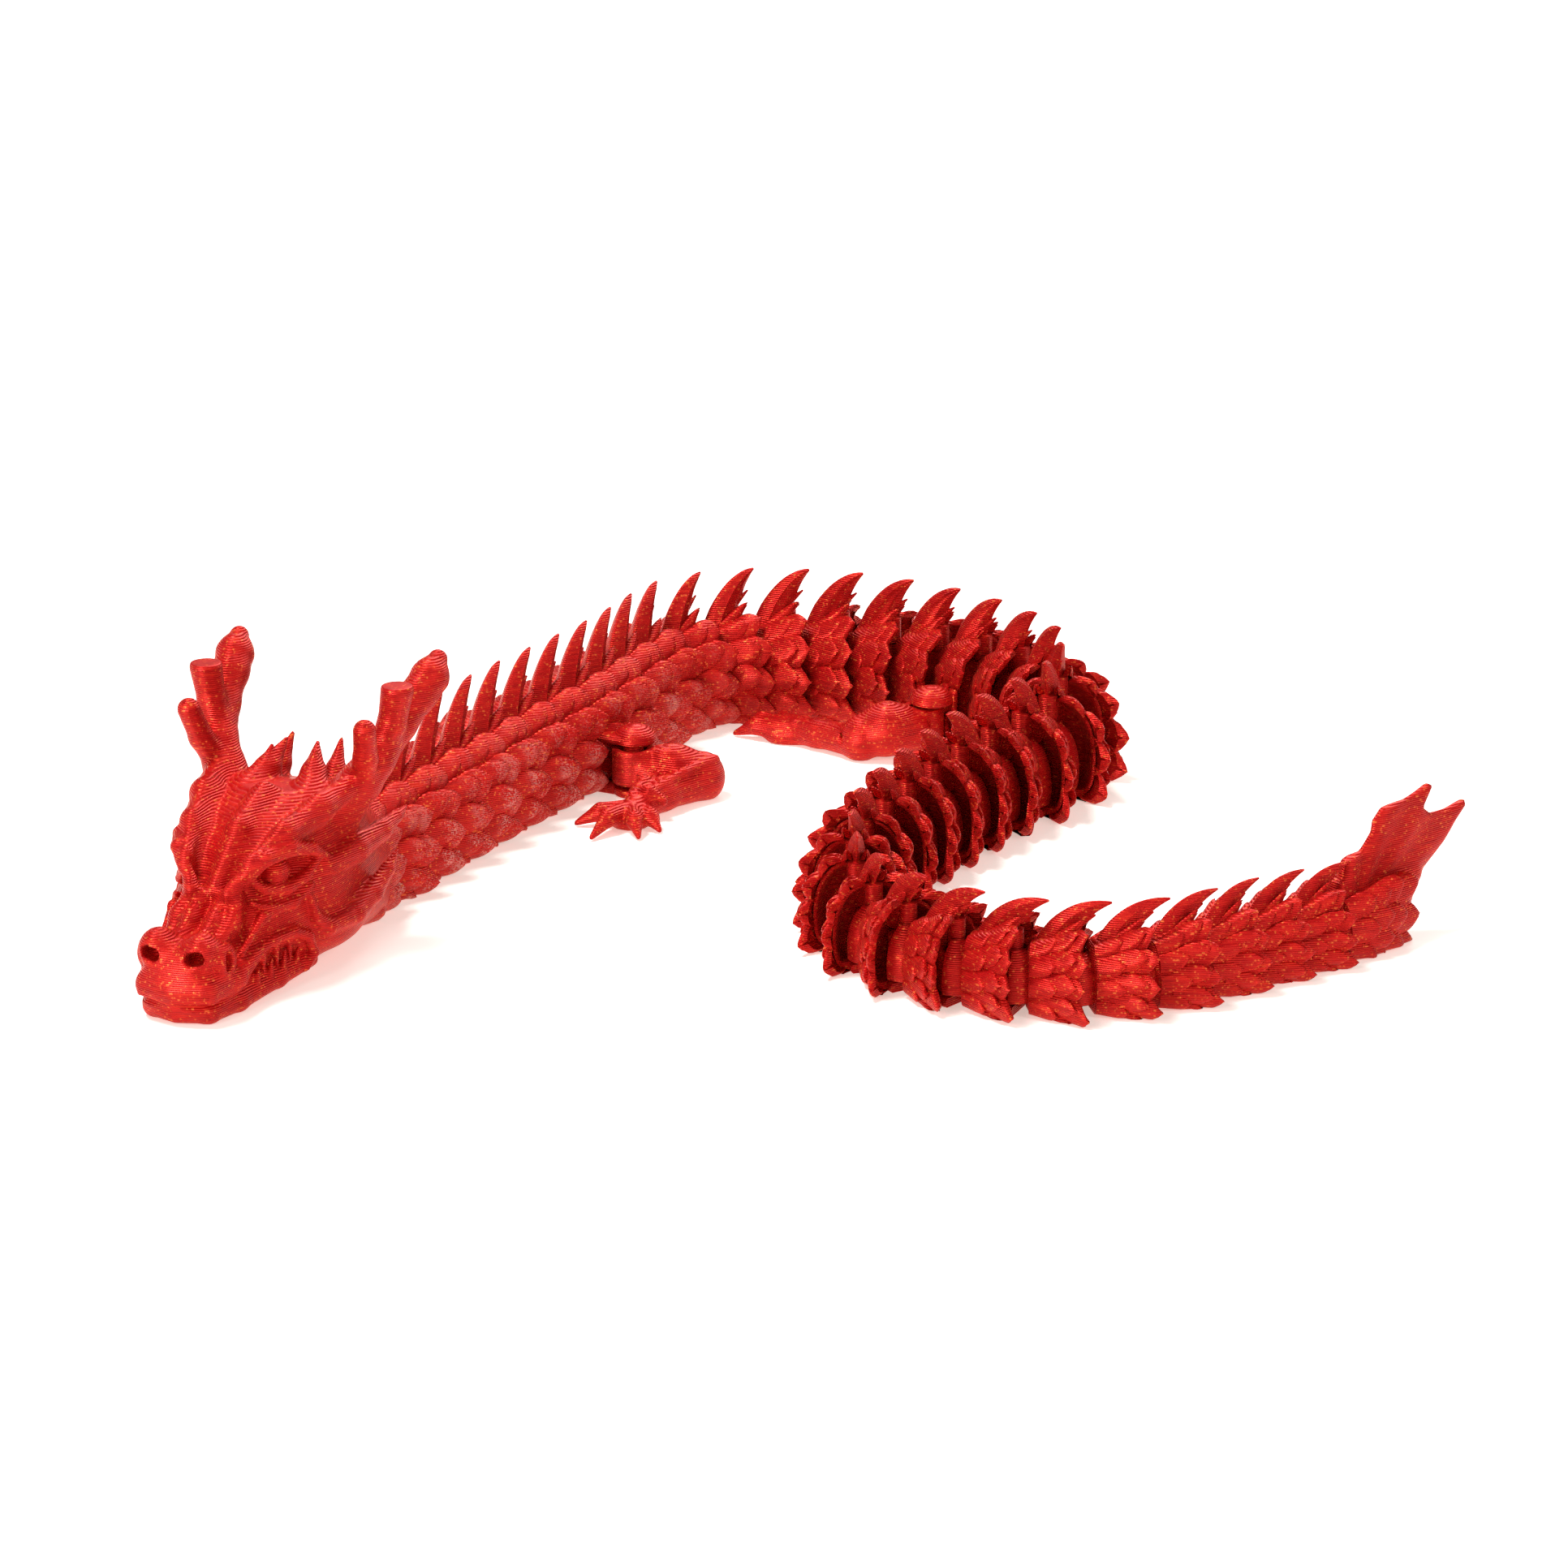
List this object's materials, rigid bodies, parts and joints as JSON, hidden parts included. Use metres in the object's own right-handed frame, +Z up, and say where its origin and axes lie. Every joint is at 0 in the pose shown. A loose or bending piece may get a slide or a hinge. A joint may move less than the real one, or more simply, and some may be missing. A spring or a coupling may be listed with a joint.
{
  "type": "articulated toy dragon",
  "caption": "Print-in-place flexible dragon: head with antlers, chain of scaled cup segments with back spikes, legs and a tail tuft, all hinged on vertical pins.",
  "frame": {"origin": "on the table under the middle of the S-curved toy's footprint", "axes": "+X along the footprint's longest side, towards the tail tuft; +Y away from the head; +Z up"},
  "size_m": [0.13, 0.1156, 0.0284],
  "materials": {
    "silk_red_plastic": "silk red printed PLA with fine level layer lines"
  },
  "bodies": {
    "body_segment_08": {"body_segment_08": "silk_red_plastic"},
    "head": {"head": "silk_red_plastic"},
    "body_segment_01": {"body_segment_01": "silk_red_plastic"},
    "body_segment_02": {"body_segment_02": "silk_red_plastic"},
    "body_segment_03": {"body_segment_03": "silk_red_plastic"},
    "body_segment_04": {"body_segment_04": "silk_red_plastic"},
    "body_segment_05": {"body_segment_05": "silk_red_plastic"},
    "body_segment_06": {"body_segment_06": "silk_red_plastic"},
    "body_segment_07": {"body_segment_07": "silk_red_plastic"},
    "body_segment_09": {"body_segment_09": "silk_red_plastic"},
    "body_segment_10": {"body_segment_10": "silk_red_plastic"},
    "body_segment_11": {"body_segment_11": "silk_red_plastic"},
    "body_segment_12": {"body_segment_12": "silk_red_plastic"},
    "body_segment_13": {"body_segment_13": "silk_red_plastic"},
    "body_segment_14": {"body_segment_14": "silk_red_plastic"},
    "body_segment_15": {"body_segment_15": "silk_red_plastic"},
    "body_segment_16": {"body_segment_16": "silk_red_plastic"},
    "body_segment_17": {"body_segment_17": "silk_red_plastic"},
    "body_segment_18": {"body_segment_18": "silk_red_plastic"},
    "body_segment_19": {"body_segment_19": "silk_red_plastic"},
    "body_segment_20": {"body_segment_20": "silk_red_plastic"},
    "body_segment_21": {"body_segment_21": "silk_red_plastic"},
    "body_segment_22": {"body_segment_22": "silk_red_plastic"},
    "body_segment_23": {"body_segment_23": "silk_red_plastic"},
    "body_segment_24": {"body_segment_24": "silk_red_plastic"},
    "body_segment_25": {"body_segment_25": "silk_red_plastic"},
    "body_segment_26": {"body_segment_26": "silk_red_plastic"},
    "body_segment_27": {"body_segment_27": "silk_red_plastic"},
    "body_segment_28": {"body_segment_28": "silk_red_plastic"},
    "body_segment_29": {"body_segment_29": "silk_red_plastic"},
    "body_segment_30": {"body_segment_30": "silk_red_plastic"},
    "body_segment_31": {"body_segment_31": "silk_red_plastic"},
    "body_segment_32": {"body_segment_32": "silk_red_plastic"},
    "body_segment_33": {"body_segment_33": "silk_red_plastic"},
    "body_segment_34": {"body_segment_34": "silk_red_plastic"},
    "body_segment_35": {"body_segment_35": "silk_red_plastic"},
    "body_segment_36": {"body_segment_36": "silk_red_plastic"},
    "body_segment_37": {"body_segment_37": "silk_red_plastic"},
    "body_segment_38": {"body_segment_38": "silk_red_plastic"},
    "body_segment_39": {"body_segment_39": "silk_red_plastic"},
    "body_segment_40": {"body_segment_40": "silk_red_plastic"},
    "body_segment_41": {"body_segment_41": "silk_red_plastic"},
    "tail_tuft": {"tail_tuft": "silk_red_plastic"},
    "front_right_leg": {"front_right_leg": "silk_red_plastic"},
    "front_left_leg": {"front_left_leg": "silk_red_plastic"},
    "hind_right_leg": {"hind_right_leg": "silk_red_plastic"},
    "hind_left_leg": {"hind_left_leg": "silk_red_plastic"}
  },
  "joints": [
    {"name": "head_hinge", "type": "hinge", "parent": "body_segment_01", "child": "head", "pos_m": [-0.04847, -0.02298, 0], "axis": [0, 0, 1], "range_deg": [-25, 15]},
    {"name": "hinge_01_02", "type": "hinge", "parent": "body_segment_02", "child": "body_segment_01", "pos_m": [-0.04575, -0.01763, 0], "axis": [0, 0, -1], "range_deg": [-20, 20]},
    {"name": "hinge_02_03", "type": "hinge", "parent": "body_segment_03", "child": "body_segment_02", "pos_m": [-0.04302, -0.01229, 0], "axis": [0, 0, -1], "range_deg": [-20, 20]},
    {"name": "hinge_03_04", "type": "hinge", "parent": "body_segment_04", "child": "body_segment_03", "pos_m": [-0.0403, -0.00694, 0], "axis": [0, 0, -1], "range_deg": [-20, 20]},
    {"name": "hinge_04_05", "type": "hinge", "parent": "body_segment_05", "child": "body_segment_04", "pos_m": [-0.03757, -0.00159, 0], "axis": [0, 0, -1], "range_deg": [-20, 20]},
    {"name": "hinge_05_06", "type": "hinge", "parent": "body_segment_06", "child": "body_segment_05", "pos_m": [-0.03485, 0.00375, 0], "axis": [0, 0, -1], "range_deg": [-18, 22]},
    {"name": "hinge_06_07", "type": "hinge", "parent": "body_segment_07", "child": "body_segment_06", "pos_m": [-0.03194, 0.009, 0], "axis": [0, 0, 1], "range_deg": [-19.5, 20.5]},
    {"name": "hinge_07_08", "type": "hinge", "parent": "body_segment_08", "child": "body_segment_07", "pos_m": [-0.02908, 0.01427, 0], "axis": [0, 0, 1], "range_deg": [-19.5, 20.5]},
    {"name": "hinge_08_09", "type": "hinge", "parent": "body_segment_08", "child": "body_segment_09", "pos_m": [-0.02626, 0.01957, 0], "axis": [0, 0, -1], "range_deg": [-17, 23]},
    {"name": "hinge_09_10", "type": "hinge", "parent": "body_segment_09", "child": "body_segment_10", "pos_m": [-0.02373, 0.02501, 0], "axis": [0, 0, -1], "range_deg": [-17, 23]},
    {"name": "hinge_10_11", "type": "hinge", "parent": "body_segment_10", "child": "body_segment_11", "pos_m": [-0.02148, 0.03057, 0], "axis": [0, 0, -1], "range_deg": [-23, 17]},
    {"name": "hinge_11_12", "type": "hinge", "parent": "body_segment_11", "child": "body_segment_12", "pos_m": [-0.01894, 0.03601, 0], "axis": [0, 0, 1], "range_deg": [-2, 38]},
    {"name": "hinge_12_13", "type": "hinge", "parent": "body_segment_12", "child": "body_segment_13", "pos_m": [-0.01485, 0.0404, 0], "axis": [0, 0, 1], "range_deg": [0, 40]},
    {"name": "hinge_13_14", "type": "hinge", "parent": "body_segment_13", "child": "body_segment_14", "pos_m": [-0.0095, 0.04312, 0], "axis": [0, 0, 1], "range_deg": [0, 40]},
    {"name": "hinge_14_15", "type": "hinge", "parent": "body_segment_14", "child": "body_segment_15", "pos_m": [-0.00355, 0.04385, 0], "axis": [0, 0, 1], "range_deg": [-7, 33]},
    {"name": "hinge_15_16", "type": "hinge", "parent": "body_segment_15", "child": "body_segment_16", "pos_m": [0.00242, 0.04322, 0], "axis": [0, 0, 1], "range_deg": [-7, 33]},
    {"name": "hinge_16_17", "type": "hinge", "parent": "body_segment_16", "child": "body_segment_17", "pos_m": [0.00809, 0.04127, 0], "axis": [0, 0, -1], "range_deg": [-30, 6]},
    {"name": "hinge_17_18", "type": "hinge", "parent": "body_segment_17", "child": "body_segment_18", "pos_m": [0.01334, 0.03836, 0], "axis": [0, 0, -1], "range_deg": [-25, 2]},
    {"name": "hinge_18_19", "type": "hinge", "parent": "body_segment_18", "child": "body_segment_19", "pos_m": [0.018, 0.03459, 0], "axis": [0, 0, -1], "range_deg": [-30, 10]},
    {"name": "hinge_19_20", "type": "hinge", "parent": "body_segment_19", "child": "body_segment_20", "pos_m": [0.02194, 0.03006, 0], "axis": [0, 0, -1], "range_deg": [-33, 7]},
    {"name": "hinge_20_21", "type": "hinge", "parent": "body_segment_20", "child": "body_segment_21", "pos_m": [0.02475, 0.02476, 0], "axis": [0, 0, -1], "range_deg": [-40, 0]},
    {"name": "hinge_21_22", "type": "hinge", "parent": "body_segment_21", "child": "body_segment_22", "pos_m": [0.02559, 0.01882, 0], "axis": [0, 0, 1], "range_deg": [0, 40]},
    {"name": "hinge_22_23", "type": "hinge", "parent": "body_segment_22", "child": "body_segment_23", "pos_m": [0.02434, 0.01295, 0], "axis": [0, 0, 1], "range_deg": [-2, 38]},
    {"name": "hinge_23_24", "type": "hinge", "parent": "body_segment_23", "child": "body_segment_24", "pos_m": [0.02134, 0.00775, 0], "axis": [0, 0, 1], "range_deg": [-15, 25]},
    {"name": "hinge_24_25", "type": "hinge", "parent": "body_segment_24", "child": "body_segment_25", "pos_m": [0.0179, 0.00284, 0], "axis": [0, 0, 1], "range_deg": [-22, 18]},
    {"name": "hinge_25_26", "type": "hinge", "parent": "body_segment_25", "child": "body_segment_26", "pos_m": [0.01463, -0.00219, 0], "axis": [0, 0, 1], "range_deg": [-23, 17]},
    {"name": "hinge_26_27", "type": "hinge", "parent": "body_segment_26", "child": "body_segment_27", "pos_m": [0.01163, -0.00739, 0], "axis": [0, 0, -1], "range_deg": [-17, 23]},
    {"name": "hinge_27_28", "type": "hinge", "parent": "body_segment_27", "child": "body_segment_28", "pos_m": [0.00891, -0.01273, 0], "axis": [0, 0, -1], "range_deg": [-17, 23]},
    {"name": "hinge_28_29", "type": "hinge", "parent": "body_segment_28", "child": "body_segment_29", "pos_m": [0.00647, -0.01822, 0], "axis": [0, 0, -1], "range_deg": [-17, 23]},
    {"name": "hinge_29_30", "type": "hinge", "parent": "body_segment_29", "child": "body_segment_30", "pos_m": [0.00432, -0.02382, 0], "axis": [0, 0, -1], "range_deg": [-9, 31]},
    {"name": "hinge_30_31", "type": "hinge", "parent": "body_segment_30", "child": "body_segment_31", "pos_m": [0.00328, -0.02973, 0], "axis": [0, 0, -1], "range_deg": [-9, 31]},
    {"name": "hinge_31_32", "type": "hinge", "parent": "body_segment_31", "child": "body_segment_32", "pos_m": [0.00338, -0.03572, 0], "axis": [0, 0, 1], "range_deg": [-35, 5]},
    {"name": "hinge_32_33", "type": "hinge", "parent": "body_segment_32", "child": "body_segment_33", "pos_m": [0.00503, -0.04149, 0], "axis": [0, 0, 1], "range_deg": [-37, 3]},
    {"name": "hinge_33_34", "type": "hinge", "parent": "body_segment_33", "child": "body_segment_34", "pos_m": [0.0083, -0.04652, 0], "axis": [0, 0, 1], "range_deg": [-37, 3]},
    {"name": "hinge_34_35", "type": "hinge", "parent": "body_segment_34", "child": "body_segment_35", "pos_m": [0.0129, -0.05038, 0], "axis": [0, 0, 1], "range_deg": [-37, 3]},
    {"name": "hinge_35_36", "type": "hinge", "parent": "body_segment_35", "child": "body_segment_36", "pos_m": [0.01842, -0.05273, 0], "axis": [0, 0, 1], "range_deg": [-37, 3]},
    {"name": "hinge_36_37", "type": "hinge", "parent": "body_segment_36", "child": "body_segment_37", "pos_m": [0.02419, -0.05333, 0], "axis": [0, 0, -1], "range_deg": [-3, 37]},
    {"name": "hinge_37_38", "type": "hinge", "parent": "body_segment_37", "child": "body_segment_38", "pos_m": [0.02988, -0.05223, 0], "axis": [0, 0, -1], "range_deg": [-3, 37]},
    {"name": "hinge_38_39", "type": "hinge", "parent": "body_segment_38", "child": "body_segment_39", "pos_m": [0.035, -0.0495, 0], "axis": [0, 0, -1], "range_deg": [-10, 30]},
    {"name": "hinge_39_40", "type": "hinge", "parent": "body_segment_39", "child": "body_segment_40", "pos_m": [0.03957, -0.04593, 0], "axis": [0, 0, -1], "range_deg": [-21, 19]},
    {"name": "hinge_40_41", "type": "hinge", "parent": "body_segment_40", "child": "body_segment_41", "pos_m": [0.04421, -0.04244, 0], "axis": [0, 0, -1], "range_deg": [-21, 19]},
    {"name": "tail_hinge", "type": "hinge", "parent": "body_segment_41", "child": "tail_tuft", "pos_m": [0.0489, -0.03903, 0], "axis": [0, 0, 1], "range_deg": [-26, 14]},
    {"name": "front_right_leg_hinge", "type": "hinge", "parent": "body_segment_08", "child": "front_right_leg", "pos_m": [-0.03435, 0.02183, 0], "axis": [0, 0, 1], "range_deg": [-35, 8]},
    {"name": "front_left_leg_hinge", "type": "hinge", "parent": "body_segment_08", "child": "front_left_leg", "pos_m": [-0.01987, 0.01413, 0], "axis": [0, 0, 1], "range_deg": [-8, 35]},
    {"name": "hind_right_leg_hinge", "type": "hinge", "parent": "body_segment_18", "child": "hind_right_leg", "pos_m": [0.02176, 0.04209, 0], "axis": [0, 0, 1], "range_deg": [-35, 8]},
    {"name": "hind_left_leg_hinge", "type": "hinge", "parent": "body_segment_18", "child": "hind_left_leg", "pos_m": [0.01144, 0.02935, 0], "axis": [0, 0, 1], "range_deg": [-5, 35]}
  ]
}
